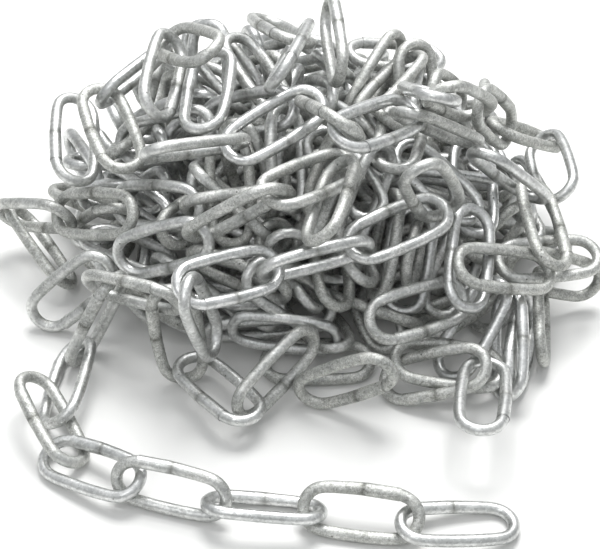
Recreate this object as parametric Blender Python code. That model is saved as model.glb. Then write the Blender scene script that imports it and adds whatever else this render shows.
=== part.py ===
# Heap of steel chain: one long-link chain of galvanised wire, thrown down in a mound, with its
# free end lying on the floor in front. Every link that shows best is its own solid, hooked
# through its neighbours with a hair of play. The links that the showing strands go down into,
# and those that cover the rest of the mound, are fused to the plain mound of buried links.
#
# The frame: +Z is up and the floor is z = 0. The origin is on the floor under the middle of
# the mound, +X runs to the viewer's right and -Y towards the viewer. The chain is laid in
# millimetres, and the objects are made in metres.

import math

import bmesh
import bpy
import numpy as np
from mathutils import Matrix, Vector

MM = 0.001

# One link: round wire bent to a long oval.
WIRE = 4.0
PITCH = 32.0
OUTER_WIDTH = 18.4
ARC_STEPS = 5
WIRE_SIDES_SETTING = 2

# Clearances: between two wires, and the play that a hook may take up, at first and at last.
PLAY = 0.45
HOOK_PLAY = 2.2
LAST_HOOK_PLAY = 2.8

# The mound's face, which the showing links lie on: half an ellipsoid whose top leans back and
# to the left.
MOUND_RADII = np.array([86.0, 69.0, 71.0])
MOUND_MIDDLE = np.array([4.0, 2.0])
MOUND_LEAN = np.array([-10.0, 6.0])
MOUND_CLEARANCE = 0.4

MOUND_SEGMENTS = 40
MOUND_RINGS = 24

# The skin: links that are rooted in a solid mound this far under the mound's face. They rise
# over the face where no showing link is near, and are the seat of the showing links elsewhere.
SKIN_DEPTH = 7.0
SKIN_SEAT = 1.0
SKIN_RISE = 8.0
CLEAR_OF_TOP = 6.0
CLEAR_FADE = 8.0
BACK_LIMIT = 68.8
ROOTED = 0.8
SKIN_GAP = 0.3
SLIVER = 0.02
SKIN_SIDES_SETTING = 1
FREE_END = "tail_link_01"

# How the skin is grown, link by link: many tries for each one, and the best is kept.
SEED = 7
SKIN_LINKS = 116
TRIES = 220
PLACES = 1500
NEIGHBOURS = 30
FINALISTS = 8
CROWDED = 11.0
FOLDED_BACK = 0.35
OVERLAP_COST = 1.5
TIGHT_HOOK_COST = 2.0
HIGH_COST = 1.5
CROWDED_COST = 0.12
DEEP_COST = 0.5
WRONG_HOOK_COST = 6.0
GIVE_UP_COST = 13.0
SKIN_EASE_ROUNDS = 300
LEG_CUTS = 6
CROWN_CUTS = 2

# How the heap is looked at: the picture is 600 x 549 pixels, its middle looks at a point on
# the floor a little in front of the origin.
PICTURE_MIDDLE = np.array([300.0, 274.5])
FOCAL_LENGTH_PIXELS = 1701.0
VIEW_DISTANCE = 603.0
VIEW_ELEVATION = math.radians(43.0)
VIEW_TARGET = np.array([0.0, -16.0, 0.0])
NEAREST_SIGHT = 400.0
FARTHEST_SIGHT = 900.0
SIGHT_STEPS = 1500
BEHIND_THE_MOUND = 40.0

# Where a link's middle lies as it rests: this far over the mound, or over the floor.
RIDE = 5.0
FLOOR_RIDE = 3.0
FLAT_ON_FLOOR = 7.0

# Each strand is a run of hooked links, read by eye. A link is given by the pixel of each of its
# two crowns, then the roll of its face in degrees (0 lies flat on what carries it, and plus
# turns its face to the viewer), then, where it matters, how many millimetres higher than the
# others it rides, and how many millimetres its hook has slid back along the link before.
STRANDS = {
    "tail": [
        ((516, 522), (400, 524), 0),
        ((419, 520), (303, 505), 50),
        ((317, 513), (202, 502), -8),
        ((218, 497), (104, 472), 40),
        ((146, 484), (44, 453), 20),
        ((86, 468), (31, 380), -35, 0, 4),
        ((61, 429), (84, 345), -40, 0, 12),
        ((78, 367), (122, 287), 30),
        ((78, 297), (170, 304), -8, 0, 4),
        ((164, 297), (192, 384), 50),
        ((177, 362), (256, 424), 0),
        ((238, 402), (302, 338), -60),
    ],
    "front": [
        ((215, 350), (186, 286), 70, 11),
        ((176, 290), (273, 268), 10),
        ((258, 272), (371, 251), -50),
        ((353, 240), (450, 208), 10),
        ((447, 213), (420, 168), -80),
    ],
    "middle": [
        ((133, 162), (252, 137), -70),
        ((262, 140), (306, 106), 50),
        ((298, 110), (347, 130), -50),
        ((343, 131), (417, 104), 10),
        ((403, 110), (474, 124), 60),
    ],
    "slant": [
        ((118, 258), (205, 236), 0),
        ((195, 235), (281, 188), 60),
        ((268, 195), (352, 160), -60),
        ((345, 168), (316, 240), 60),
    ],
    "left": [
        ((133, 215), (60, 212), 0),
        ((64, 218), (4, 211), 80),
        ((12, 215), (66, 285), -40),
    ],
    "lean": [
        ((33, 325), (101, 268), 30),
    ],
    "shoulder": [
        ((128, 170), (96, 90), 60),
        ((100, 97), (165, 50), -40),
    ],
    "edge": [
        ((74, 180), (74, 97), 90),
    ],
    "crest": [
        ((158, 118), (175, 42), 85),
        ((165, 33), (208, 45), -20),
    ],
    "arch": [
        ((200, 128), (213, 52), 0),
    ],
    "peak": [
        ((279, 86), (305, 32), 50, 3),
        ((297, 40), (262, 16), -40, 3),
    ],
    "spire": [
        ((340, 75), (328, 5), 85),
    ],
    "right": [
        ((420, 90), (450, 84), 0),
        ((440, 85), (480, 108), -60),
        ((477, 112), (505, 135), 60),
        ((483, 143), (553, 147), -30),
        ((542, 140), (560, 190), 60),
    ],
    "rail": [
        ((468, 160), (537, 210), 0, 3),
        ((529, 176), (555, 263), 45, 3),
    ],
    "stub": [
        ((505, 268), (597, 258), 40),
    ],
    "spur": [
        ((508, 262), (600, 284), -10),
    ],
    "rib": [
        ((455, 268), (554, 275), 40, 4),
    ],
    "strut": [
        ((492, 281), (443, 377), 75),
    ],
    "side_near": [
        ((514, 296), (508, 396), 85),
    ],
    "side_middle": [
        ((531, 309), (522, 395), 85),
    ],
    "side_far": [
        ((547, 278), (545, 372), 80),
    ],
    "loop": [
        ((475, 205), (470, 312), 10),
    ],
    "base": [
        ((460, 300), (376, 325), 10),
    ],
    "foot": [
        ((300, 396), (384, 374), 20),
    ],
    "skirt": [
        ((379, 388), (490, 372), 45),
        ((489, 352), (481, 421), -10),
    ],
    "corner": [
        ((402, 362), (504, 374), 47, 9),
    ],
}

# Worked out from the dimensions above.
CROWN_TO_CROWN = PITCH + WIRE
LEG_SPACING = OUTER_WIDTH - WIRE
CROWN_RADIUS = LEG_SPACING / 2
LEG_HALF = (CROWN_TO_CROWN - LEG_SPACING) / 2
POINTS = 2 * (ARC_STEPS + 1)
HOOK_POINT = (PITCH - PLAY) / 2
HOOK_REACH = CROWN_TO_CROWN / 2 - WIRE - 0.3

VIEW_FORWARD = np.array([0.0, math.cos(VIEW_ELEVATION), -math.sin(VIEW_ELEVATION)])
VIEW_UP = np.array([0.0, math.sin(VIEW_ELEVATION), math.cos(VIEW_ELEVATION)])
VIEW_RIGHT = np.array([1.0, 0.0, 0.0])
EYE = VIEW_TARGET - VIEW_DISTANCE * VIEW_FORWARD
STRAIGHT_UP = np.array([0.0, 0.0, 1.0])


def unit(vectors):
    """The same directions at length 1."""
    return vectors / np.maximum(np.linalg.norm(vectors, axis=-1, keepdims=True), 1e-9)


def link_outline():
    """The middle of the wire, once round one link that lies flat along X."""
    turn = np.linspace(-math.pi / 2, math.pi / 2, ARC_STEPS + 1)
    crown = np.stack([
        LEG_HALF + CROWN_RADIUS * np.cos(turn),
        CROWN_RADIUS * np.sin(turn),
        np.zeros_like(turn),
    ], -1)
    return np.concatenate([crown, crown * [-1, -1, 1]])


OUTLINE = link_outline()
ALONG = OUTLINE[:, 0] / (CROWN_TO_CROWN / 2)
TIPS = {1: [ARC_STEPS // 2, ARC_STEPS // 2 + 1]}
TIPS[-1] = [tip + ARC_STEPS + 1 for tip in TIPS[1]]


def turn_of(axis, face):
    """Rotation whose X is the link's axis and whose Z is its face, as near as can be."""
    x = unit(axis)
    z = unit(face - (face * x).sum(-1, keepdims=True) * x)
    return np.stack([x, np.cross(z, x), z], -1)


def outlines(centres, turns):
    """The outline of each link, at its centre and turn."""
    return centres[:, None] + np.einsum("nij,kj->nki", turns, OUTLINE)


def nearest_links(clouds):
    """The rigid link that lies nearest to each displaced outline."""
    centres = clouds.mean(1)
    spread = np.einsum("nki,kj->nij", clouds - centres[:, None], OUTLINE)
    left, _, right = np.linalg.svd(spread)
    left[:, :, 2] *= np.sign(np.linalg.det(left @ right))[:, None]
    return centres, left @ right


# The mound

def mound_frame(points, grow):
    """Points moved so that the mound, grown by some millimetres, stands straight."""
    radii = MOUND_RADII + grow
    height = np.clip(points[..., 2:] / radii[2], 0, 1)
    flat = points[..., :2] - MOUND_MIDDLE - MOUND_LEAN * height
    return flat, radii


def mound_level(points, grow):
    """Under 1 inside the grown mound, 1 on its face and more outside."""
    flat, radii = mound_frame(points, grow)
    return ((flat / radii[:2]) ** 2).sum(-1) + (points[..., 2] / radii[2]) ** 2


def mound_slope(points, grow):
    """The direction in which mound_level climbs, at its rate."""
    flat, radii = mound_frame(points, grow)
    across = 2 * flat / radii[:2] ** 2
    upward = 2 * points[..., 2] / radii[2] ** 2 - (across * MOUND_LEAN).sum(-1) / radii[2]
    return np.concatenate([across, upward[..., None]], -1)


def push_off_mound(clouds):
    """How far each point has to move for the wire to clear the mound there and half way on."""
    grow = WIRE / 2 + MOUND_CLEARANCE
    wire = np.concatenate([clouds, (clouds + np.roll(clouds, -1, 1)) / 2], 1)
    slope = mound_slope(wire, grow)
    rate = np.linalg.norm(slope, axis=-1, keepdims=True)
    depth = np.maximum(1 - mound_level(wire, grow), 0)[..., None] / np.maximum(rate, 1e-4)
    push = unit(slope) * np.minimum(depth, 3.0)
    push += 0.3 * push.sum(1, keepdims=True) / np.maximum((depth > 0).sum(1, keepdims=True), 1)
    at_points, half_way = push[:, :POINTS], push[:, POINTS:]
    return at_points + (half_way + np.roll(half_way, 1, 1)) / 2


def weight_pull(clouds, pull):
    """A small step of each link towards the mound, or down to the floor beside it."""
    inward = -unit(mound_slope(clouds, RIDE)).mean(1, keepdims=True)
    on_mound = (mound_level(clouds, FLOOR_RIDE).mean(1) < 1.9)[:, None, None]
    return pull * np.where(on_mound, inward, -STRAIGHT_UP)


# Where each link is seen

def sight(pixel):
    """Direction of the sight line through a pixel."""
    across, down = (np.array(pixel) - PICTURE_MIDDLE) / FOCAL_LENGTH_PIXELS
    return unit(VIEW_FORWARD + VIEW_RIGHT * across - VIEW_UP * down)


def seen_point(pixel, ride):
    """Where the sight line first meets the mound, grown by ride, or else the floor."""
    line = sight(pixel)
    to_floor = (FLOOR_RIDE - EYE[2]) / line[2]
    floor_point = EYE + to_floor * line
    reach = min(to_floor, FARTHEST_SIGHT)
    path = EYE + np.linspace(NEAREST_SIGHT, reach, SIGHT_STEPS)[:, None] * line
    level = mound_level(path, ride)
    inside = np.nonzero(level < 1)[0]
    if len(inside):
        return path[inside[0]]
    closest = level.argmin()
    over_the_top = floor_point[1] > BEHIND_THE_MOUND or level[closest] < 1.08
    if closest < len(path) - 1 and over_the_top:
        return path[closest]
    return floor_point


def far_crown(start, pixel, length, wish):
    """Point on a pixel's sight line, at a set length from the start, near the wished one."""
    line = sight(pixel)
    to_foot = (start - EYE) @ line
    foot = EYE + to_foot * line
    spare = length ** 2 - ((start - foot) ** 2).sum()
    if spare <= 0:
        return foot
    choices = []
    for reach in (to_foot - math.sqrt(spare), to_foot + math.sqrt(spare)):
        point = EYE + reach * line
        cost = abs(reach - (wish - EYE) @ line)
        cost += 30 * (mound_level(point, WIRE / 2) < 1) + 20 * max(0, WIRE / 2 - point[2])
        choices.append((cost, reach))
    return EYE + min(choices)[1] * line


# Wires and hooks

def wires_near(clouds, reach):
    """Pairs of straight wire stretches, of different links, that are within reach."""
    middles = clouds.mean(1)
    apart = np.linalg.norm(middles[:, None] - middles[None], axis=-1)
    first, second = np.nonzero(np.triu(apart < CROWN_TO_CROWN + WIRE + reach, 1))
    ends = np.roll(clouds, -1, 1)
    halves = np.linalg.norm(ends - clouds, axis=-1) / 2
    centres = (ends + clouds) / 2
    apart = np.linalg.norm(centres[first][:, :, None] - centres[second][:, None], axis=-1)
    close = apart < halves[first][:, :, None] + halves[second][:, None] + WIRE + reach
    pair, stretch_a, stretch_b = np.nonzero(close)
    return first[pair], stretch_a, second[pair], stretch_b


def wire_gaps(clouds, pairs):
    """For each pair: how far along each stretch they come closest, the offset, the distance."""
    link_a, stretch_a, link_b, stretch_b = pairs
    start_a, start_b = clouds[link_a, stretch_a], clouds[link_b, stretch_b]
    run_a = clouds[link_a, (stretch_a + 1) % POINTS] - start_a
    run_b = clouds[link_b, (stretch_b + 1) % POINTS] - start_b
    between = start_a - start_b
    aa, bb, ab = (run_a * run_a).sum(-1), (run_b * run_b).sum(-1), (run_a * run_b).sum(-1)
    ac, bc = (run_a * between).sum(-1), (run_b * between).sum(-1)
    area = aa * bb - ab * ab
    along_a = np.where(area > 1e-9, (ab * bc - ac * bb) / np.maximum(area, 1e-9), 0.5)
    along_a = np.clip(along_a, 0, 1)
    along_b = (ab * along_a + bc) / bb
    along_a = np.where(along_b < 0, np.clip(-ac / aa, 0, 1), along_a)
    along_a = np.where(along_b > 1, np.clip((ab - ac) / aa, 0, 1), along_a)
    along_b = np.clip(along_b, 0, 1)
    offset = between + run_a * along_a[:, None] - run_b * along_b[:, None]
    return along_a, along_b, offset, np.linalg.norm(offset, axis=-1)


def solid_angles(a, b, c):
    """Signed solid angles of triangles of unit directions."""
    box = (a * np.cross(b, c)).sum(-1)
    return 2 * np.arctan2(box, 1 + (a * b).sum(-1) + (b * c).sum(-1) + (c * a).sum(-1))


def are_hooked(some, others):
    """Whether each link passes through its partner, by Gauss's linking number."""
    here, ahead = some[:, :, None], np.roll(some, -1, 1)[:, :, None]
    start, end = others[:, None], np.roll(others, -1, 1)[:, None]
    a, b, c, d = unit(start - here), unit(start - ahead), unit(end - ahead), unit(end - here)
    total = (solid_angles(a, b, c) + solid_angles(a, c, d)).sum((1, 2))
    return np.abs(total) > 2 * math.pi


def hooking_cost(before, outline, turned):
    """Fine for a link that is turned, cuts the one before, sinks or isn't hooked through it."""
    pair = np.array([before, outline])
    near = wires_near(pair, 1.0)
    closest = wire_gaps(pair, near)[3].min() if len(near[0]) else 2 * WIRE
    cost = abs(turned) / 10 + 3 * max(0, WIRE - closest)
    cost += 0 if are_hooked(before[None], outline[None])[0] else 100
    return cost + (100 if outline[:, 2].min() < 1 else 0)


def first_guess(strand, before):
    """Places one strand's links one after another, each hooked through the last."""
    placed, hooks, aims, faces = [], [], [], []
    hook_point = None
    for number, (pixel_a, pixel_b, roll, *extra) in enumerate(strand):
        lift, slack = (*extra, 0, 0)[:2]
        ride = RIDE + lift
        seen_a, seen_b = seen_point(pixel_a, ride), seen_point(pixel_b, ride)
        if number:
            hook_point = hook_point - axis * slack
        start = hook_point if number else seen_a
        length = CROWN_TO_CROWN - WIRE / 2 if number else CROWN_TO_CROWN
        end = far_crown(start, pixel_b, length, seen_b)
        axis, middle = unit(end - start), (start + end) / 2
        centre = hook_point + axis * HOOK_POINT if number else middle
        beside = middle[2] < FLAT_ON_FLOOR and mound_level(middle, RIDE + FLOOR_RIDE) > 1
        carried = mound_level(middle, ride) < 1.5 and not beside
        up = unit(mound_slope(middle, ride)) if carried else STRAIGHT_UP
        across = np.cross(up, axis)
        across = across * np.sign(across @ (EYE - start))
        tries = []
        for turned in range(-90, 91, 10) if number else [0]:
            angle = math.radians(roll + turned)
            face = math.cos(angle) * up + math.sin(angle) * across
            outline = outlines(centre[None], turn_of(axis[None], face[None]))[0]
            cost = hooking_cost(placed[-1], outline, turned) if number else 0
            tries.append((cost, len(tries), outline))
        placed.append(min(tries, key=lambda choice: choice[:2])[2])
        hook_point = centre + axis * HOOK_POINT
        angle = math.radians(roll)
        faces.append(math.cos(angle) * up + math.sin(angle) * across)
        link = before + number
        aims += [(link, -1, sight(pixel_a)), (link, 1, sight(pixel_b))]
        if number:
            hooks.append((link - 1, link, HOOK_PLAY + slack))
    return placed, hooks, aims, faces


# Easing the links apart

def spread_overlaps(clouds, pairs, fixed=0):
    """Moves each pair of wires that is too close apart, half each, or one of them alone where
    the other is among the first links, which are fixed."""
    along_a, along_b, offset, distance = wire_gaps(clouds, pairs)
    close = distance < WIRE + PLAY
    link_a, stretch_a, link_b, stretch_b = (index[close] for index in pairs)
    short = (WIRE + PLAY - distance[close])[:, None]
    push = offset[close] / np.maximum(distance[close], 1e-6)[:, None] * short
    part_b = np.where(link_a < fixed, 1.0, 0.5)[:, None]
    moves, counts = np.zeros_like(clouds), np.zeros(clouds.shape[:2])
    sides = (
        (link_a, stretch_a, along_a[close], push * (1 - part_b)),
        (link_b, stretch_b, along_b[close], -push * part_b),
    )
    for link, stretch, along, step in sides:
        spread = np.maximum(along ** 2 + (1 - along) ** 2, 0.5)
        for point, share in ((stretch, 1 - along), ((stretch + 1) % POINTS, along)):
            np.add.at(moves, (link, point), step * (share / spread)[:, None])
            np.add.at(counts, (link, point), share)
    touches = counts.sum(1)
    stiffen = np.where(touches > 0, POINTS / np.maximum(touches, 1), 0)
    return clouds + 0.45 * moves * stiffen[:, None, None]


def draw_hooks(clouds, hooks, strength):
    """Pulls hooked crowns together where their play is used up."""
    first, second, play = hooks
    centres, turns = nearest_links(clouds)
    end_a = centres[first] + turns[first][:, :, 0] * HOOK_POINT
    end_b = centres[second] - turns[second][:, :, 0] * HOOK_POINT
    gap = end_b - end_a
    distance = np.linalg.norm(gap, axis=1)
    excess = np.minimum(np.maximum(distance - play, 0), 0.5 / strength)
    step = gap * (0.3 * strength * excess / np.maximum(distance, 1e-6))[:, None]
    for link, end, move in ((first, 1, step), (second, -1, -step)):
        np.add.at(clouds, link, move[:, None] * (1 + ALONG * end)[None, :, None])
    return clouds


def aim_crowns(clouds, aims, strength):
    """Draws each crown sideways to the sight line it is seen on."""
    link, end, lines = aims
    far, near = (clouds[link][:, TIPS[side]].mean(1) for side in (1, -1))
    tips = np.where(end[:, None] > 0, far, near)
    offset = tips - EYE
    offset = offset - (offset * lines).sum(1, keepdims=True) * lines
    size = np.linalg.norm(offset, axis=1, keepdims=True)
    step = -offset * np.minimum(strength, 0.2 / np.maximum(size, 1e-6))
    np.add.at(clouds, link, step[:, None] * (0.5 + 0.9 * ALONG[None, :] * end[:, None])[:, :, None])
    return clouds


def turn_faces(clouds, faces, strength):
    """Rolls each link towards the face that it shows."""
    centres, turns = nearest_links(clouds)
    step = (outlines(centres, turn_of(turns[:, :, 0], faces)) - clouds) * strength
    size = np.linalg.norm(step, axis=-1).max(1)[:, None, None]
    return clouds + step * np.minimum(1, 0.3 / np.maximum(size, 1e-9))


def ease(clouds, hooks, aims, faces, rounds, aim, face, draw, pull):
    """Moves rigid links in small steps until no wire is in another and all hooks hold."""
    for count in range(rounds):
        if count % 8 == 0:
            pairs = wires_near(clouds, 2.5)
        clouds = spread_overlaps(clouds, pairs)
        if draw:
            clouds = draw_hooks(clouds, hooks, draw)
        clouds = clouds + 0.8 * push_off_mound(clouds)
        below = np.maximum(WIRE / 2 - clouds[..., 2], 0)
        clouds[..., 2] += below + 0.3 * below.max(1, keepdims=True)
        if aim:
            clouds = aim_crowns(clouds, aims, aim)
        if face:
            clouds = turn_faces(clouds, faces, face)
        clouds = clouds + weight_pull(clouds, pull)
        clouds = outlines(*nearest_links(clouds))
    return clouds


def lay_chain():
    """Centre and turn of every link, with the name of its node."""
    names, clouds, hooks, aims, faces = [], [], [], [], []
    for strand_name, strand in STRANDS.items():
        placed, strand_hooks, strand_aims, strand_faces = first_guess(strand, len(clouds))
        names += [f"{strand_name}_link_{number + 1:02d}" for number in range(len(strand))]
        clouds += placed
        hooks += strand_hooks
        aims += strand_aims
        faces += strand_faces
    clouds, faces = np.array(clouds), np.array(faces)
    first, second, play = (np.array(column) for column in zip(*hooks))
    aims = tuple(np.array(column) for column in zip(*aims))
    hooks = (first, second, play)
    clouds = ease(clouds, hooks, aims, faces, 300, aim=0.12, face=0.05, draw=0.5, pull=0.06)
    clouds = ease(clouds, hooks, aims, faces, 300, aim=0.06, face=0.03, draw=0.5, pull=0.06)
    clouds = ease(clouds, hooks, aims, faces, 400, aim=0.03, face=0.01, draw=0.2, pull=0.03)
    hooks = (first, second, play + LAST_HOOK_PLAY - HOOK_PLAY)
    clouds = ease(clouds, hooks, aims, faces, 600, aim=0.006, face=0, draw=0.1, pull=0.015)
    clouds = ease(clouds, hooks, aims, faces, 100, aim=0, face=0, draw=0, pull=0)
    centres, turns = nearest_links(clouds)
    return names, centres, turns


# The skin of buried links

def wire_points(clouds):
    """Points every few millimetres along the wire of each link."""
    ahead = np.roll(clouds, -1, -2)
    rows = []
    for k in range(POINTS):
        cuts = LEG_CUTS if k in (ARC_STEPS, POINTS - 1) else CROWN_CUTS
        start, end = clouds[..., k, :], ahead[..., k, :]
        rows += [start + (end - start) * step / cuts for step in range(cuts)]
    return np.stack(rows, -2)


def closest_wires(some, others):
    """Shortest distance between the wires of each link and its partner."""
    count = len(some)
    link = np.repeat(np.arange(count), POINTS * POINTS)
    stretch_a = np.tile(np.repeat(np.arange(POINTS), POINTS), count)
    stretch_b = np.tile(np.arange(POINTS), count * POINTS)
    pairs = (link, stretch_a, link + count, stretch_b)
    return wire_gaps(np.concatenate([some, others]), pairs)[3].reshape(count, -1).min(1)


def squares_between(some, others):
    """Squared distance from each point to each other point."""
    both = (some ** 2).sum(1)[:, None] + (others ** 2).sum(1)[None]
    return np.maximum(both - 2 * some @ others.T, 0)


def height_over_mound(points, grow):
    """Millimetres over the grown mound, about right near it, and the direction out of it."""
    slope = mound_slope(points, grow)
    rate = np.maximum(np.linalg.norm(slope, axis=-1), 2 / MOUND_RADII[0])
    return (mound_level(points, grow) - 1) / rate, unit(slope)


def room_over_mound(points, top_wire):
    """How high over the mound a skin link may lie: less close to the showing links."""
    away = np.sqrt(squares_between(points.reshape(-1, 3), top_wire).min(1))
    room = np.clip((away - CLEAR_OF_TOP) / CLEAR_FADE, 0, 1) * SKIN_RISE + SKIN_SEAT
    return room.reshape(points.shape[:-1])


def strand_ends(names, centres, turns):
    """Each end of each strand, apart from the chain's free end: its link and its direction."""
    strands = [name.split("_link_")[0] for name in names]
    ends = []
    for number, strand in enumerate(strands):
        beside = [other for other in (number - 1, number + 1)
                  if other in range(len(strands)) and strands[other] == strand]
        if names[number] == FREE_END or len(beside) == 2:
            continue
        way = turns[number][:, 0]
        if beside:
            ends.append((number, way * np.sign(way @ (centres[number] - centres[beside[0]]))))
        else:
            ends += [(number, way), (number, -way)]
    return ends


def try_link(rng, placed, top_wire, number=None, way=None, start=None):
    """The best of many new links: hooked through the end of a placed one, or near a start."""
    axes = unit(rng.normal(size=(TRIES, 3)))
    if start is None:
        hook = placed["centre"][number] + way * HOOK_REACH
        axes[axes @ way < -FOLDED_BACK] *= -1
        middles = hook + axes * CROWN_TO_CROWN / 2
    else:
        hook = start
        middles = hook + rng.normal(size=(TRIES, 3)) * WIRE
    turns = turn_of(axes, np.cross(axes, rng.normal(size=(TRIES, 3))))
    tried = outlines(middles, turns)
    good = (tried[:, :, 2].min(1) > WIRE / 2 - 1) & (tried[..., 1].max(1) < BACK_LIMIT)
    own_gap = np.full(TRIES, WIRE + 1)
    if start is None:
        before = np.repeat(placed["cloud"][number][None], TRIES, 0)
        own_gap = closest_wires(tried, before)
        good &= are_hooked(tried, before) & (own_gap > WIRE / 2)
    if not good.any():
        return None
    tried, middles, axes, own_gap = tried[good], middles[good], axes[good], own_gap[good]
    near = np.linalg.norm(np.array(placed["centre"]) - hook, axis=1).argsort()[:NEIGHBOURS]
    near = near[near != number] if start is None else near
    points = wire_points(tried)
    wires = np.concatenate([placed["wire"][other] for other in near])
    away = np.sqrt(squares_between(points.reshape(-1, 3), wires))
    overlap = np.maximum(WIRE + PLAY - away.min(1).reshape(len(tried), -1), 0)
    crowded = (away < CROWDED).sum(1).reshape(len(tried), -1).mean(1)
    height = height_over_mound(points, 0)[0]
    high = np.maximum(height - room_over_mound(points, top_wire), 0).mean(1)
    afloat = np.maximum(height.min(1) + SKIN_DEPTH, 0)
    deep = np.maximum(-SKIN_DEPTH - height, 0).mean(1)
    cost = OVERLAP_COST * (overlap.sum(1) / 3 + overlap.max(1))
    cost += TIGHT_HOOK_COST * np.maximum(WIRE - own_gap, 0)
    cost += HIGH_COST * high + CROWDED_COST * crowded + afloat + DEEP_COST * deep
    choices = np.argsort(cost)[:FINALISTS]
    others = np.array([placed["cloud"][other] for other in near])
    for choice in choices:
        partners = np.repeat(tried[choice][None], len(others), 0)
        cost[choice] += WRONG_HOOK_COST * are_hooked(partners, others).sum()
    best = choices[cost[choices].argmin()]
    link = {"cloud": tried[best], "centre": middles[best], "wire": points[best]}
    return cost[best], link, axes[best]


def emptiest_place(rng, placed):
    """The place just under the mound's face that is farthest from all wires."""
    low = [*(MOUND_MIDDLE - MOUND_RADII[:2]), WIRE]
    high = [*(MOUND_MIDDLE + MOUND_RADII[:2]), MOUND_RADII[2]]
    places = rng.uniform(low, high, (PLACES, 3))
    height = height_over_mound(places, 0)[0]
    places = places[(height < 0) & (height > -SKIN_DEPTH) & (places[:, 1] < BACK_LIMIT - WIRE)]
    return places[squares_between(places, np.concatenate(placed["wire"])).min(1).argmax()]


def grow_skin(names, centres, turns):
    """Runs of hooked links that go on from the showing strands, then fill what is bare."""
    rng = np.random.default_rng(SEED)
    top = outlines(centres, turns)
    placed = {"cloud": list(top), "centre": list(centres), "wire": list(wire_points(top))}
    top_wire = np.concatenate(placed["wire"])
    ends = strand_ends(names, centres, turns)
    while len(placed["cloud"]) < len(top) + SKIN_LINKS:
        if ends:
            number, way = ends.pop(0)
            found = try_link(rng, placed, top_wire, number, way)
            if not found or found[0] > GIVE_UP_COST:
                continue
        else:
            found = try_link(rng, placed, top_wire, start=emptiest_place(rng, placed))
            if not found:
                continue
            ends.append((len(placed["cloud"]), -found[2]))
        ends.append((len(placed["cloud"]), found[2]))
        for key, value in found[1].items():
            placed[key].append(value)
    return top, np.array(placed["cloud"][len(top):])


def lay_skin(names, centres, turns):
    """Centre and turn of each skin link: grown, eased apart, and kept where it is rooted in
    the solid mound and clear of the showing links."""
    top, skin = grow_skin(names, centres, turns)
    fixed = len(top)
    top_wire = wire_points(top).reshape(-1, 3)
    for count in range(SKIN_EASE_ROUNDS):
        clouds = np.concatenate([top, skin])
        if count % 8 == 0:
            pairs = wires_near(clouds, 2.5)
            pairs = tuple(index[pairs[2] >= fixed] for index in pairs)
            room = room_over_mound(skin, top_wire)
        skin = spread_overlaps(clouds, pairs, fixed)[fixed:]
        height, out = height_over_mound(skin, 0)
        skin = skin - 0.3 * out * np.clip(height - room, 0, 2)[..., None]
        afloat = np.clip(height_over_mound(skin, -SKIN_DEPTH)[0].min(1) + ROOTED - WIRE / 2, 0, 0.1)
        skin = skin - out.mean(1, keepdims=True) * afloat[:, None, None]
        below = np.maximum(WIRE / 2 - skin[..., 2], 0)
        skin[..., 2] += below + 0.3 * below.max(1, keepdims=True)
        skin[..., 1] = np.minimum(skin[..., 1], BACK_LIMIT)
        skin = outlines(*nearest_links(skin))
    pairs = wires_near(np.concatenate([top, skin]), 1)
    pairs = tuple(index[(pairs[0] < fixed) & (pairs[2] >= fixed)] for index in pairs)
    gaps = np.full(len(skin), WIRE + 1.0)
    np.minimum.at(gaps, pairs[2] - fixed, wire_gaps(np.concatenate([top, skin]), pairs)[3])
    rooted = height_over_mound(skin, -SKIN_DEPTH)[0].min(1) < WIRE / 2 - ROOTED / 2
    return nearest_links(skin[rooted & (gaps > WIRE + SKIN_GAP)])


# Making the objects

def make_material(name, colour, roughness, metallic):
    """A plain finish for one kind of piece."""
    material = bpy.data.materials.new(name)
    material.use_nodes = True
    shader = material.node_tree.nodes["Principled BSDF"]
    shader.inputs["Base Color"].default_value = (*colour, 1.0)
    shader.inputs["Roughness"].default_value = roughness
    shader.inputs["Metallic"].default_value = metallic
    return material


def make_link_curve(name, sides_setting, material):
    """The wire of one link: a closed run of points with a round section."""
    curve = bpy.data.curves.new(name, "CURVE")
    curve.dimensions = "3D"
    curve.bevel_depth = WIRE / 2 * MM
    curve.bevel_resolution = sides_setting
    spline = curve.splines.new("POLY")
    spline.points.add(POINTS - 1)
    for point, place in zip(spline.points, OUTLINE * MM):
        point.co = (*place, 1.0)
    spline.use_cyclic_u = True
    curve.materials.append(material)
    return curve


def make_link(name, shape, centre, turn, collection):
    """One link of the chain, at its place."""
    link = bpy.data.objects.new(name, shape)
    link.location = Vector(centre) * MM
    link.rotation_euler = Matrix(turn.tolist()).to_euler()
    collection.objects.link(link)
    return link


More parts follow.
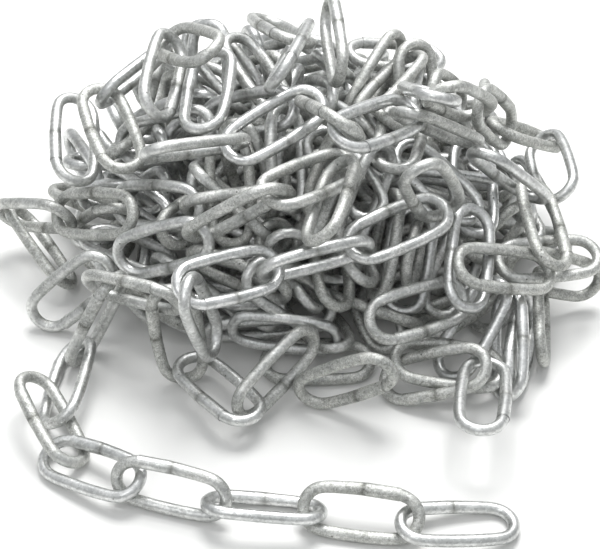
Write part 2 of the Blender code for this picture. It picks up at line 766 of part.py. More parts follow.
def make_mound(material, collection):
    """The solid mound under the skin, with a flat underside."""
    mesh = bpy.data.meshes.new("heap_core")
    build = bmesh.new()
    bmesh.ops.create_uvsphere(build, u_segments=MOUND_SEGMENTS, v_segments=MOUND_RINGS, radius=1.0)
    radii = MOUND_RADII - SKIN_DEPTH
    bmesh.ops.scale(build, vec=radii * MM, verts=build.verts)
    lean = Matrix.Identity(4)
    lean[0][2], lean[1][2] = MOUND_LEAN / radii[2]
    bmesh.ops.transform(build, matrix=lean, verts=build.verts)
    bmesh.ops.translate(build, vec=(*(MOUND_MIDDLE * MM), 0.0), verts=build.verts)
    everything = build.verts[:] + build.edges[:] + build.faces[:]
    cut = bmesh.ops.bisect_plane(
        build, geom=everything, dist=1e-6, plane_co=(0, 0, 0), plane_no=(0, 0, 1), clear_inner=True)
    rim = [piece for piece in cut["geom_cut"] if isinstance(piece, bmesh.types.BMEdge)]
    bmesh.ops.edgenet_fill(build, edges=rim)
    bmesh.ops.recalc_face_normals(build, faces=build.faces)
    build.to_mesh(mesh)
    build.free()
    mesh.materials.append(material)
    mound = bpy.data.objects.new("heap_core", mesh)
    collection.objects.link(mound)
    return mound


def mesh_of_curve(curve):
    """The curve's surface as a mesh."""
    holder = bpy.data.objects.new("link_pattern", curve)
    bpy.context.scene.collection.objects.link(holder)
    graph = bpy.context.evaluated_depsgraph_get()
    mesh = bpy.data.meshes.new_from_object(holder.evaluated_get(graph))
    bpy.data.objects.remove(holder, do_unlink=True)
    return mesh


def root_skin(mound, links, cutters, material):
    """Fuses the skin links to the mound, as one body."""
    curve = make_link_curve("skin_link", SKIN_SIDES_SETTING, material)
    mesh = mesh_of_curve(curve)
    for number, (centre, turn) in enumerate(zip(*links)):
        link = make_link(f"skin_link_{number + 1:02d}", mesh, centre, turn, cutters)
        link.display_type = "WIRE"
        link.hide_render = True
    union = mound.modifiers.new("skin", "BOOLEAN")
    union.operation = "UNION"
    union.operand_type = "COLLECTION"
    union.collection = cutters
    union.use_self = True
    tidy = mound.modifiers.new("slivers", "WELD")
    tidy.merge_threshold = SLIVER * MM


def main():
    """Clears the scene and makes the heap."""
    for old in list(bpy.data.objects):
        bpy.data.objects.remove(old, do_unlink=True)
    collection = bpy.data.collections.new("heap_of_steel_chain")
    cutters = bpy.data.collections.new("skin_links")
    for group in (collection, cutters):
        bpy.context.scene.collection.children.link(group)
    zinc = make_material("galvanised_wire", (0.50, 0.51, 0.50), 0.38, 1.0)
    shade = make_material("buried_links", (0.16, 0.17, 0.16), 0.6, 0.8)
    names, centres, turns = lay_chain()
    mound = make_mound(shade, collection)
    root_skin(mound, lay_skin(names, centres, turns), cutters, shade)
    curve = make_link_curve("long_link", WIRE_SIDES_SETTING, zinc)
    for name, centre, turn in zip(names, centres, turns):
        make_link(name, curve, centre, turn, collection)


main()
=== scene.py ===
# %% [markdown]
# A heap of steel chain
#
# The object is one long chain of galvanised wire links, thrown down in a mound, with its free
# end lying on the floor in front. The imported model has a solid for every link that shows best,
# and one more for all that lies behind them: a plain mound with a skin of links fused to it.
# This script gives the links their round wire, weld marks and zinc, and it fills the mound with
# real links in place of the plain solid.

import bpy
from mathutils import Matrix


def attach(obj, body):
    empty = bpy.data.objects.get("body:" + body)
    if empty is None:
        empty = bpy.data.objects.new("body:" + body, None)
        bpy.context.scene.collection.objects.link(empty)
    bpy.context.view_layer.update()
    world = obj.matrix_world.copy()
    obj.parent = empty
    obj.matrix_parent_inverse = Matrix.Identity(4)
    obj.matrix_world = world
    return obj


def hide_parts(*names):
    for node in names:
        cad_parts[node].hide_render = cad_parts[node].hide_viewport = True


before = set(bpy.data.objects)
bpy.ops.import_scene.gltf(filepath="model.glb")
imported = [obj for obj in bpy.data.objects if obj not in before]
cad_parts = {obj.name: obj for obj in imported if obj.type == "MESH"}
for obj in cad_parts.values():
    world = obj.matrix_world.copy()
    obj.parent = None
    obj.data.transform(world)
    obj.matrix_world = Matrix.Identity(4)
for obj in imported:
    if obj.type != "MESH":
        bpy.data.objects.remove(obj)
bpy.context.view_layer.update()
print(len(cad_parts), "solids in the packed model")

# %% The modelling modules
import math

import bmesh
import bpy
import numpy as np
from mathutils import Matrix, Vector
from mathutils.bvhtree import BVHTree

print("Blender", bpy.app.version_string)

# %% [markdown]
# One link is a piece of round wire bent to a long oval and butt-welded in the middle of one leg.
# All sizes here are millimetres, because that is how chain is sold, and MM turns them to metres
# when a mesh is made. The outline below is the middle of the wire, once round the link. It is
# coarse on purpose: it is what the laying rules further down measure gaps with.

# %% Sizes of one link
MM = 0.001
WIRE = 4.0
PITCH = 32.0
OUTER_WIDTH = 18.4
ARC_STEPS = 5

CROWN_TO_CROWN = PITCH + WIRE
CROWN_RADIUS = (OUTER_WIDTH - WIRE) / 2
LEG_HALF = CROWN_TO_CROWN / 2 - CROWN_RADIUS
POINTS = 2 * (ARC_STEPS + 1)
print("wire in one link:", round(4 * LEG_HALF + 2 * math.pi * CROWN_RADIUS, 1), "mm")


# %% The outline of one link
def link_outline():
    """The middle of the wire, once round a link that lies flat along X."""
    turn = np.linspace(-math.pi / 2, math.pi / 2, ARC_STEPS + 1)
    crown = np.stack([
        LEG_HALF + CROWN_RADIUS * np.cos(turn),
        CROWN_RADIUS * np.sin(turn),
        np.zeros_like(turn),
    ], -1)
    return np.concatenate([crown, crown * [-1, -1, 1]])


OUTLINE = link_outline()
print("outline points:", len(OUTLINE))

# %% [markdown]
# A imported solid's place is in its vertices, so each link's centre and turn are read back from
# them. The middle of the vertices is the link's centre. The three directions in which they
# spread most, less and least are its length, its width and its face. A link runs from its first
# crown to its second one. That matters for the links that lie alone, because the runs of buried
# links start at their second crown. Most of them run to the right or away from the viewer.

# %% Where each packed link lies
STRANDS = (
    "tail", "front", "middle", "slant", "left", "lean", "shoulder", "edge", "crest", "arch",
    "peak", "spire", "right", "rail", "stub", "spur", "rib", "strut", "side_near",
    "side_middle", "side_far", "loop", "base", "foot", "skirt", "corner")
TOWARDS_VIEWER = {"strut", "side_near", "side_middle", "side_far", "loop", "base"}


def strand_of(name):
    """The strand that a link belongs to."""
    return name.split("_link_")[0]


def place_of(name):
    """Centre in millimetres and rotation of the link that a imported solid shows."""
    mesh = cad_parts[name].data
    corners = np.empty(len(mesh.vertices) * 3)
    mesh.vertices.foreach_get("co", corners)
    corners = np.unique(np.round(corners.reshape(-1, 3) / MM, 3), axis=0)
    centre = corners.mean(0)
    directions = np.linalg.svd(corners - centre, full_matrices=False)[2]
    if (directions[0, :2].sum() < 0) != (strand_of(name) in TOWARDS_VIEWER):
        directions[0] *= -1
    directions[2] = np.cross(directions[0], directions[1])
    return centre, directions.T


link_names = [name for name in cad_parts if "_link_" in name]
link_names.sort(key=lambda name: (STRANDS.index(strand_of(name)), name))
places = [place_of(name) for name in link_names]
top_centres = np.array([centre for centre, turn in places])
top_turns = np.array([turn for centre, turn in places])
print(len(link_names), "links have their own solid")

# %% [markdown]
# The mound is half an ellipsoid that leans back and to the left, the same as in the packed
# model. Its face is what the showing links lie on. A sculpted hill would do as well, but an
# ellipsoid has a formula, so the height of thousands of points over it takes no time.


# %% The mound
MOUND_RADII = np.array([86.0, 69.0, 71.0])
MOUND_MIDDLE = np.array([4.0, 2.0])
MOUND_LEAN = np.array([-10.0, 6.0])


def unit(vectors):
    """The same directions at length 1."""
    return vectors / np.maximum(np.linalg.norm(vectors, axis=-1, keepdims=True), 1e-9)


def height_over_mound(points, grow=0.0):
    """Millimetres over the face of the mound, grown by some millimetres, and the way out. It
    is about right near the face."""
    radii = MOUND_RADII + grow
    rise = np.clip(points[..., 2:] / radii[2], 0, 1)
    flat = points[..., :2] - MOUND_MIDDLE - MOUND_LEAN * rise
    level = ((flat / radii[:2]) ** 2).sum(-1) + (points[..., 2] / radii[2]) ** 2
    across = 2 * flat / radii[:2] ** 2
    upward = 2 * points[..., 2] / radii[2] ** 2 - (across * MOUND_LEAN).sum(-1) / radii[2]
    slope = np.concatenate([across, upward[..., None]], -1)
    rate = np.maximum(np.linalg.norm(slope, axis=-1), 2 / MOUND_RADII[0])
    return (level - 1) / rate, unit(slope)


summit = np.array([*(MOUND_MIDDLE + MOUND_LEAN), MOUND_RADII[2]])
print("height of the summit over the mound:", height_over_mound(summit)[0].round(2), "mm")

# %% [markdown]
# Laying the buried links could be left to a rigid body simulation, but hundreds of hooked rings
# are the hardest thing there is for one. So they are laid the way a chain maker would draw them:
# link by link. From each end of each showing strand a run of links goes on over the mound and
# down into it. A new link is tried in many directions and rolls, and the one that is hooked
# through the link before, cuts into nothing and lies in the emptiest place is kept.


# %% Outlines of many links
def outlines(centres, turns):
    """The outline of each link, at its centre and turn."""
    return centres[:, None] + np.einsum("nij,kj->nki", turns, OUTLINE)


def turn_of(axis, face):
    """Rotation whose X is the link's axis and whose Z is its face, as near as can be."""
    x = unit(axis)
    z = unit(face - (face * x).sum(-1, keepdims=True) * x)
    return np.stack([x, np.cross(z, x), z], -1)


def nearest_links(clouds):
    """The rigid link that lies nearest to each displaced outline."""
    centres = clouds.mean(1)
    spread = np.einsum("nki,kj->nij", clouds - centres[:, None], OUTLINE)
    left, _, right = np.linalg.svd(spread)
    left[:, :, 2] *= np.sign(np.linalg.det(left @ right))[:, None]
    return centres, left @ right


print("turn of a link along X is the identity:", bool(
    np.allclose(turn_of(np.array([1.0, 0, 0]), np.array([0, 0, 1.0])), np.eye(3))))

# %% Points along the wire
LEG_CUTS = 6
CROWN_CUTS = 2


def wire_points(clouds):
    """Points every few millimetres along the wire of each link."""
    ahead = np.roll(clouds, -1, -2)
    rows = []
    for k in range(POINTS):
        cuts = LEG_CUTS if k in (ARC_STEPS, POINTS - 1) else CROWN_CUTS
        start, end = clouds[..., k, :], ahead[..., k, :]
        rows += [start + (end - start) * step / cuts for step in range(cuts)]
    return np.stack(rows, -2)


def squares_between(some, others):
    """Squared distance from each point to each other point."""
    both = (some ** 2).sum(1)[:, None] + (others ** 2).sum(1)[None]
    return np.maximum(both - 2 * some @ others.T, 0)


top_clouds = outlines(top_centres, top_turns)
top_wire = wire_points(top_clouds).reshape(-1, 3)
print("points along one link:", wire_points(top_clouds).shape[1])


# %% How near two wires come
def wire_gaps(clouds, pairs):
    """For each pair of wire stretches: where they come closest, the offset, the distance."""
    link_a, stretch_a, link_b, stretch_b = pairs
    start_a, start_b = clouds[link_a, stretch_a], clouds[link_b, stretch_b]
    run_a = clouds[link_a, (stretch_a + 1) % POINTS] - start_a
    run_b = clouds[link_b, (stretch_b + 1) % POINTS] - start_b
    between = start_a - start_b
    aa, bb, ab = (run_a * run_a).sum(-1), (run_b * run_b).sum(-1), (run_a * run_b).sum(-1)
    ac, bc = (run_a * between).sum(-1), (run_b * between).sum(-1)
    area = aa * bb - ab * ab
    along_a = np.where(area > 1e-9, (ab * bc - ac * bb) / np.maximum(area, 1e-9), 0.5)
    along_a = np.clip(along_a, 0, 1)
    along_b = (ab * along_a + bc) / bb
    along_a = np.where(along_b < 0, np.clip(-ac / aa, 0, 1), along_a)
    along_a = np.where(along_b > 1, np.clip((ab - ac) / aa, 0, 1), along_a)
    along_b = np.clip(along_b, 0, 1)
    offset = between + run_a * along_a[:, None] - run_b * along_b[:, None]
    return along_a, along_b, offset, np.linalg.norm(offset, axis=-1)


def closest_wires(some, others):
    """Shortest distance between the wires of each link and its partner."""
    count = len(some)
    link = np.repeat(np.arange(count), POINTS * POINTS)
    stretch_a = np.tile(np.repeat(np.arange(POINTS), POINTS), count)
    stretch_b = np.tile(np.arange(POINTS), count * POINTS)
    pairs = (link, stretch_a, link + count, stretch_b)
    return wire_gaps(np.concatenate([some, others]), pairs)[3].reshape(count, -1).min(1)


smallest = closest_wires(top_clouds[:-1], top_clouds[1:]).min()
print("smallest play between following links:", round(smallest - WIRE, 2), "mm")


# %% Whether two links are hooked
def solid_angles(a, b, c):
    """Signed solid angles of triangles of unit directions."""
    box = (a * np.cross(b, c)).sum(-1)
    return 2 * np.arctan2(box, 1 + (a * b).sum(-1) + (b * c).sum(-1) + (c * a).sum(-1))


def are_hooked(some, others):
    """Whether each link passes through its partner, by Gauss's linking number."""
    here, ahead = some[:, :, None], np.roll(some, -1, 1)[:, :, None]
    start, end = others[:, None], np.roll(others, -1, 1)[:, None]
    a, b, c, d = unit(start - here), unit(start - ahead), unit(end - ahead), unit(end - here)
    total = (solid_angles(a, b, c) + solid_angles(a, c, d)).sum((1, 2))
    return np.abs(total) > 2 * math.pi


neighbours = are_hooked(top_clouds[:-1], top_clouds[1:]).sum()
print(neighbours, "of the showing links are hooked through the next one")

# %% [markdown]
# On the real chain each showing strand dives into the heap at both ends and goes on there. The
# strands are told apart by their names, so a run of buried links starts at each end of each
# strand, apart from the chain's free end, which lies in front.

# %% The ends that the buried runs start from
FREE_END = "tail_link_01"


def strand_ends():
    """Each end of each strand: its link and its direction."""
    strands = [strand_of(name) for name in link_names]
    ends = []
    for number, strand in enumerate(strands):
        beside = [other for other in (number - 1, number + 1)
                  if other in range(len(strands)) and strands[other] == strand]
        if link_names[number] == FREE_END or len(beside) == 2:
            continue
        way = top_turns[number][:, 0]
        if beside:
            inward = top_centres[beside[0]] - top_centres[number]
            ends.append((number, -way * np.sign(way @ inward)))
        else:
            ends += [(number, way), (number, -way)]
    return ends


print(len(strand_ends()), "ends go down into the mound")

# %% [markdown]
# There are two layers. The skin covers the heap's sides, back and gaps: it may rise over the
# mound's face where no showing link is near, and it has to reach down into the mound. It is laid
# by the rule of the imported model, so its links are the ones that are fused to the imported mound.
# The links inside lie under it and only keep below the mound's face.

# %% Room for the two layers
SKIN_DEPTH = 7.0
SKIN_SEAT = 1.0
SKIN_RISE = 8.0
CLEAR_OF_TOP = 6.0
CLEAR_FADE = 8.0
INSIDE_DEPTH = 2.0
BACK_LIMIT = 68.8

HIGH_COST = 1.5
DEEP_COST = 0.5


def room_over_mound(points):
    """How high over the mound a skin link may lie: less close to the showing links."""
    away = np.sqrt(squares_between(points.reshape(-1, 3), top_wire).min(1))
    room = np.clip((away - CLEAR_OF_TOP) / CLEAR_FADE, 0, 1) * SKIN_RISE + SKIN_SEAT
    return room.reshape(points.shape[:-1])


def cost_of_height(points, in_skin):
    """How far out of its layer each link lies."""
    height = height_over_mound(points)[0]
    if not in_skin:
        return HIGH_COST * np.maximum(height + INSIDE_DEPTH, 0).mean(1)
    high = np.maximum(height - room_over_mound(points), 0).mean(1)
    afloat = np.maximum(height.min(1) + SKIN_DEPTH, 0)
    deep = np.maximum(-SKIN_DEPTH - height, 0).mean(1)
    return HIGH_COST * high + afloat + DEEP_COST * deep


print("a skin link may rise", SKIN_SEAT + SKIN_RISE, "mm over the mound")

# %% Many tries for one link
TRIES = 220
PLAY = 0.45
FOLDED_BACK = 0.35
FLOOR_SINK = 1.0
HOOK_REACH = CROWN_TO_CROWN / 2 - WIRE - 0.3


def draw_tries(rng, placed, number, way, start):
    """Many new links, hooked through the end of a placed one or laid near a start."""
    axes = unit(rng.normal(size=(TRIES, 3)))
    if start is None:
        hook = placed["centre"][number] + way * HOOK_REACH
        axes[axes @ way < -FOLDED_BACK] *= -1
        middles = hook + axes * CROWN_TO_CROWN / 2
    else:
        hook = start
        middles = hook + rng.normal(size=(TRIES, 3)) * WIRE
    turns = turn_of(axes, np.cross(axes, rng.normal(size=(TRIES, 3))))
    tried = outlines(middles, turns)
    good = (tried[:, :, 2].min(1) > WIRE / 2 - FLOOR_SINK) & (tried[..., 1].max(1) < BACK_LIMIT)
    own_gap = np.full(TRIES, WIRE + 1)
    if start is None:
        before = np.repeat(placed["cloud"][number][None], TRIES, 0)
        own_gap = closest_wires(tried, before)
        good &= are_hooked(tried, before) & (own_gap > WIRE / 2)
    return hook, tried[good], middles[good], axes[good], own_gap[good]


print(TRIES, "tries for each link")

# %% The best of the tries
NEIGHBOURS = 30
FINALISTS = 8
CROWDED = 11.0
OVERLAP_COST = 1.5
TIGHT_HOOK_COST = 2.0
CROWDED_COST = 0.12
WRONG_HOOK_COST = 6.0


def try_link(rng, placed, in_skin, number=None, way=None, start=None):
    """The best of many new links, its cost and its direction."""
    hook, tried, middles, axes, own_gap = draw_tries(rng, placed, number, way, start)
    if not len(tried):
        return None
    near = np.linalg.norm(np.array(placed["centre"]) - hook, axis=1).argsort()[:NEIGHBOURS]
    near = near[near != number] if start is None else near
    points = wire_points(tried)
    wires = np.concatenate([placed["wire"][other] for other in near])
    away = np.sqrt(squares_between(points.reshape(-1, 3), wires))
    overlap = np.maximum(WIRE + PLAY - away.min(1).reshape(len(tried), -1), 0)
    crowded = (away < CROWDED).sum(1).reshape(len(tried), -1).mean(1)
    cost = OVERLAP_COST * (overlap.sum(1) / 3 + overlap.max(1)) + CROWDED_COST * crowded
    cost += TIGHT_HOOK_COST * np.maximum(WIRE - own_gap, 0) + cost_of_height(points, in_skin)
    choices = np.argsort(cost)[:FINALISTS]
    others = np.array([placed["cloud"][other] for other in near])
    for choice in choices:
        partners = np.repeat(tried[choice][None], len(others), 0)
        cost[choice] += WRONG_HOOK_COST * are_hooked(partners, others).sum()
    best = choices[cost[choices].argmin()]
    link = {"cloud": tried[best], "centre": middles[best], "wire": points[best]}
    return cost[best], link, axes[best]


print("the best", FINALISTS, "are tested for links that they hook by mistake")

# %% The emptiest place
PLACES = 1500


def emptiest_place(rng, placed, in_skin):
    """The place in the layer that is farthest from all wires."""
    low = [*(MOUND_MIDDLE - MOUND_RADII[:2]), WIRE]
    high = [*(MOUND_MIDDLE + MOUND_RADII[:2]), MOUND_RADII[2]]
    places = rng.uniform(low, high, (PLACES, 3))
    height = height_over_mound(places)[0]
    layer = (height < 0) & (height > -SKIN_DEPTH) if in_skin else height < -SKIN_DEPTH
    places = places[layer & (places[:, 1] < BACK_LIMIT - WIRE)]
    return places[squares_between(places, np.concatenate(placed["wire"])).min(1).argmax()]


print("the emptiest of", PLACES, "places is where a new run starts")

# %% Growing a layer
GIVE_UP_COST = 13.0
SKIN_TRIED = 116
SKIN_SEED = 7


def grow(clouds, ends, count, in_skin, seed):
    """New links: runs of hooked ones that go on from the ends, then some in what is empty."""
    rng = np.random.default_rng(seed)
    placed = {"cloud": list(clouds), "centre": list(nearest_links(clouds)[0]),
              "wire": list(wire_points(clouds))}
    while len(placed["cloud"]) < len(clouds) + count:
        if ends:
            number, way = ends.pop(0)
            found = try_link(rng, placed, in_skin, number, way)
            if not found or found[0] > GIVE_UP_COST:
                continue
        else:
            found = try_link(rng, placed, in_skin, start=emptiest_place(rng, placed, in_skin))
            if not found:
                continue
            ends.append((len(placed["cloud"]), -found[2]))
        ends.append((len(placed["cloud"]), found[2]))
        for key, value in found[1].items():
            placed[key].append(value)
    return np.array(placed["cloud"][len(clouds):])


skin = grow(top_clouds, strand_ends(), SKIN_TRIED, True, SKIN_SEED)
print(len(skin), "skin links grown")

# %% [markdown]
# The grown links still cut a little into each other, which steel can't. A physics engine throws
# bodies that start inside each other far apart. So a short easing of small steps moves each new
# link, as a rigid body, until the wires only touch. The links that are already laid don't move.


# %% Wires that lie near each other
def wires_near(clouds, reach, fixed):
    """Pairs of wire stretches of different links, not both fixed, within reach."""
    middles = clouds.mean(1)
    apart = np.linalg.norm(middles[:, None] - middles[None], axis=-1)
    first, second = np.nonzero(np.triu(apart < CROWN_TO_CROWN + WIRE + reach, 1))
    first, second = first[second >= fixed], second[second >= fixed]
    ends = np.roll(clouds, -1, 1)
    halves = np.linalg.norm(ends - clouds, axis=-1) / 2
    centres = (ends + clouds) / 2
    apart = np.linalg.norm(centres[first][:, :, None] - centres[second][:, None], axis=-1)
    close = apart < halves[first][:, :, None] + halves[second][:, None] + WIRE + reach
    pair, stretch_a, stretch_b = np.nonzero(close)
    return np.stack([first[pair], stretch_a, second[pair], stretch_b])


print(wires_near(top_clouds, 0.0, 0).shape[1], "pairs of stretches lie near in the showing links")

# %% Moving wires apart
EASE_SHARE = 0.45


def spread_overlaps(clouds, pairs, fixed):
    """Moves wires that are too close apart: the new one alone where the other is fixed."""
    along_a, along_b, offset, distance = wire_gaps(clouds, pairs)
    close = distance < WIRE + PLAY
    link_a, stretch_a, link_b, stretch_b = pairs[:, close]
    short = (WIRE + PLAY - distance[close])[:, None]
    push = offset[close] / np.maximum(distance[close], 1e-6)[:, None] * short
    part_b = np.where(link_a < fixed, 1.0, 0.5)[:, None]
    moves, counts = np.zeros(clouds.size), np.zeros(clouds.size // 3)
    sides = (
        (link_a, stretch_a, along_a[close], push * (1 - part_b)),
        (link_b, stretch_b, along_b[close], -push * part_b),
    )
    for link, stretch, along, step in sides:
        spread = np.maximum(along ** 2 + (1 - along) ** 2, 0.5)
        for point, share in ((stretch, 1 - along), ((stretch + 1) % POINTS, along)):
            place = link * POINTS + point
            counts += np.bincount(place, share, len(counts))
            for axis in range(3):
                moves[axis::3] += np.bincount(place, step[:, axis] * share / spread, len(counts))
    touches = counts.reshape(-1, POINTS).sum(1)
    stiffen = np.where(touches > 0, POINTS / np.maximum(touches, 1), 0)
    return clouds + EASE_SHARE * moves.reshape(clouds.shape) * stiffen[:, None, None]


print("each round closes about", EASE_SHARE, "of an overlap")

# %% Easing a layer
ROOTED = 0.8
EASE_REACH = 2.5
ROUNDS_BETWEEN_SEARCHES = 8
PULL_SHARE = 0.3
PULL_MOST = 2.0
SINK_STEP = 0.1
SKIN_ROUNDS = 300


def ease(laid, links, rounds, in_skin):
    """The new links after all rounds of small moves: apart, in their layer, on the floor."""
    for count in range(rounds):
        clouds = np.concatenate([laid, links])
        if count % ROUNDS_BETWEEN_SEARCHES == 0:
            pairs = wires_near(clouds, EASE_REACH, len(laid))
            room = room_over_mound(links) if in_skin else -INSIDE_DEPTH
        links = spread_overlaps(clouds, pairs, len(laid))[len(laid):]
        height, out = height_over_mound(links)
        links = links - PULL_SHARE * out * np.clip(height - room, 0, PULL_MOST)[..., None]
        if in_skin:
            afloat = height_over_mound(links, -SKIN_DEPTH)[0].min(1) + ROOTED - WIRE / 2
            sink = np.clip(afloat, 0, SINK_STEP)[:, None, None]
            links = links - out.mean(1, keepdims=True) * sink
        below = np.maximum(WIRE / 2 - links[..., 2], 0)
        links[..., 2] += below + PULL_SHARE * below.max(1, keepdims=True)
        links[..., 1] = np.minimum(links[..., 1], BACK_LIMIT)
        links = outlines(*nearest_links(links))
    return links


skin = ease(top_clouds, skin, SKIN_ROUNDS, True)
print("skin links eased")

# %% [markdown]
# A skin link is kept where it is rooted in the mound and clear of the showing links, because a
# link with nothing under it would hang in the air. As a test,
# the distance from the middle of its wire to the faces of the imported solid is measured. Outside
# the mound it is half the wire's thickness, if the link is the one that the solid shows.

# %% The skin links that are kept
SKIN_GAP = 0.3
SEARCH_GAP = 1.0

clouds = np.concatenate([top_clouds, skin])
pairs = wires_near(clouds, SEARCH_GAP, len(top_clouds))
pairs = pairs[:, pairs[0] < len(top_clouds)]
gaps = np.full(len(skin), WIRE + SEARCH_GAP)
np.minimum.at(gaps, pairs[2] - len(top_clouds), wire_gaps(clouds, pairs)[3])
rooted = height_over_mound(skin, -SKIN_DEPTH)[0].min(1) < WIRE / 2 - ROOTED / 2
skin = skin[rooted & (gaps > WIRE + SKIN_GAP)]
print(len(skin), "skin links kept")

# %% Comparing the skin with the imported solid
MATCH = 0.5

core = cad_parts["heap_core"].data
faces = BVHTree.FromPolygons(
    [vertex.co for vertex in core.vertices], [face.vertices for face in core.polygons])
outside = wire_points(skin).reshape(-1, 3)
outside = outside[height_over_mound(outside, -SKIN_DEPTH)[0] > WIRE]
depths = np.array([faces.find_nearest(point * MM)[3] for point in outside]) / MM
matching = (abs(depths - WIRE / 2) < MATCH).mean()
print(round(100 * matching), "% of the wire lies where the packed solid has it")

# %% [markdown]
# Between the skin links the eye sees more links, and dark gaps between those. A dark filler
# would look dead there, because bare metal mirrors its neighbours. The chain has about 310
# links. The ones at the heart of the heap can't be seen from any side, so only those that may
# show between the others are laid.

# %% The links inside
INSIDE_LINKS = 100
INSIDE_SEED = 8
INSIDE_ROUNDS = 300
DEEP_CUT = 1.0

laid = np.concatenate([top_clouds, skin])
inside = grow(laid, [], INSIDE_LINKS, False, INSIDE_SEED)
inside = ease(laid, inside, INSIDE_ROUNDS, False)
inside[..., 2] += np.maximum(WIRE / 2 - inside[..., 2].min(1), 0)[:, None]
clouds = np.concatenate([laid, inside])
pairs = wires_near(clouds, 0.0, len(laid))
cuts = pairs[:, wire_gaps(clouds, pairs)[3] < WIRE - DEEP_CUT]
cuts = len(set(zip(cuts[0], cuts[2])))
print(len(inside), "links inside;", cuts, "pairs still cut", DEEP_CUT, "mm or more")

# %% [markdown]
# Now the wire itself. A curve with a round bevel would be quicker, but it has no place for the
# weld. So a circle is the section of the wire. It is spun half a turn round one crown, drawn
# along a leg, spun round the other crown and drawn back, with rings at the middle of one leg for
# the weld: the two ends of the wire were pressed together hot, which leaves a low collar with a
# shallow groove in it. The legs bow out a little towards their middle, as the photo shows, so
# the crowns are a little narrower and reach a little farther. The drawn wire is a hair thinner
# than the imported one, whose flat facets lie inside the round.

# %% Sizes of the drawn wire
DRAWN_WIRE = 3.9
LEG_BOW = 0.4
DRAWN_RADIUS = CROWN_RADIUS - LEG_BOW
DRAWN_HALF = LEG_HALF + LEG_BOW
COLLAR = 1.07
GROOVE = 0.94
WELD_RINGS = (
    (-1.8, 1.0, 0.0), (-0.9, COLLAR, 0.5), (0.0, GROOVE, 1.0), (0.9, COLLAR, 0.5), (1.8, 1.0, 0.0))
LAYER_WELD = "weld"
LAYER_TINT = "tint"
print("the drawn link is", round(2 * DRAWN_HALF + 2 * DRAWN_RADIUS + DRAWN_WIRE, 1), "mm long")


# %% One leg
def bow(place):
    """How far a leg stands out there, beside its straight line."""
    return LEG_BOW * (1 - (place / DRAWN_HALF) ** 2)


def draw_leg(build, ring, way, stops):
    """Draws the open ring along a leg, past stops of place, thickness and weld strength."""
    weld = build.verts.layers.float[LAYER_WELD]
    place = -way * DRAWN_HALF
    for stop, thickness, strength in stops:
        drawn = bmesh.ops.extrude_edge_only(build, edges=ring)["geom"]
        verts = [piece for piece in drawn if isinstance(piece, bmesh.types.BMVert)]
        ring = [piece for piece in drawn if isinstance(piece, bmesh.types.BMEdge)]
        aside = way * (bow(place) - bow(stop))
        bmesh.ops.translate(build, vec=((stop * way - place) * MM, aside * MM, 0), verts=verts)
        place = stop * way
        middle = sum((vert.co for vert in verts), Vector()) / len(verts)
        shift = Matrix.Translation(-middle)
        bmesh.ops.scale(build, vec=(thickness,) * 3, space=shift, verts=verts)
        for vert in verts:
            vert[weld] = strength
    return ring


print("a leg bows out", bow(0.0), "mm in its middle")


# %% One link
def make_link_mesh(name, sides, arc_steps, leg_stops, weld_stops):
    """The wire of one link, flat along X, from one section. Rounding draws a cage in, so the
    cage's section is larger than the wire."""
    drawn_in = (2 + math.cos(2 * math.pi / sides)) / 3
    radius = DRAWN_WIRE / 2 / drawn_in * MM
    build = bmesh.new()
    build.verts.layers.float.new(LAYER_WELD)
    build.verts.layers.float.new(LAYER_TINT)
    circle = bmesh.ops.create_circle(build, segments=sides, radius=radius)["verts"]
    upright = Matrix.Rotation(math.pi / 2, 4, "Y")
    start = Matrix.Translation((DRAWN_HALF * MM, -DRAWN_RADIUS * MM, 0))
    bmesh.ops.transform(build, matrix=start @ upright, verts=circle)
    ring = list(build.edges)
    for way, stops in ((1, leg_stops), (-1, weld_stops)):
        spun = bmesh.ops.spin(
            build, geom=ring + list({vert for edge in ring for vert in edge.verts}),
            cent=(way * DRAWN_HALF * MM, 0, 0), axis=(0, 0, 1), angle=math.pi, steps=arc_steps)
        ring = [piece for piece in spun["geom_last"] if isinstance(piece, bmesh.types.BMEdge)]
        ring = draw_leg(build, ring, -way, stops)
    bmesh.ops.remove_doubles(build, verts=build.verts, dist=0.01 * MM)
    bmesh.ops.recalc_face_normals(build, faces=build.faces)
    mesh = bpy.data.meshes.new(name)
    build.to_mesh(mesh)
    build.free()
    mesh.shade_smooth()
    return mesh


# The stops along a leg: place, thickness and weld strength. The last one meets the crown.
ENDS = (DRAWN_HALF, 1.0, 0.0)
fine_link = make_link_mesh("fine_link", 8, 6, ((0.0, 1.0, 0.0), ENDS), (*WELD_RINGS, ENDS))
skin_link = make_link_mesh("skin_link", 6, 5, (ENDS,), (*WELD_RINGS[1:4], ENDS))
inner_link = make_link_mesh("inner_link", 5, 4, (ENDS,), (ENDS,))
for mesh in (fine_link, skin_link, inner_link):
    print(mesh.name, "has", len(mesh.polygons), "faces")

# %% [markdown]
# The finish is hot-dip galvanised steel: zinc that froze on the wire. It is a light grey metal
# with small crystals that each mirror a little differently, cloudy patches where the zinc ran
# thicker, and small dark pits. Some links came out of the bath bright and smooth, and others
# with a fine crust, often on one stretch of the wire only. Each link has a tint of its own,
# which sets how rough it is and how much crust it has. Metal takes its look from what it
# mirrors, so most of the detail goes into roughness and bump. The patterns fill space, in Object
# coordinates, so they have no seam where the wire closes.


# %% Colours
def linear(hex_colour):
    """An sRGB hex colour as the linear numbers that the shader works with."""
    shades = [int(hex_colour[i:i + 2], 16) / 255 for i in (1, 3, 5)]
    return (*(s / 12.92 if s <= 0.04045 else ((s + 0.055) / 1.055) ** 2.4 for s in shades), 1.0)


print("a light zinc grey in linear numbers:", [round(shade, 2) for shade in linear("#C9CBCB")])


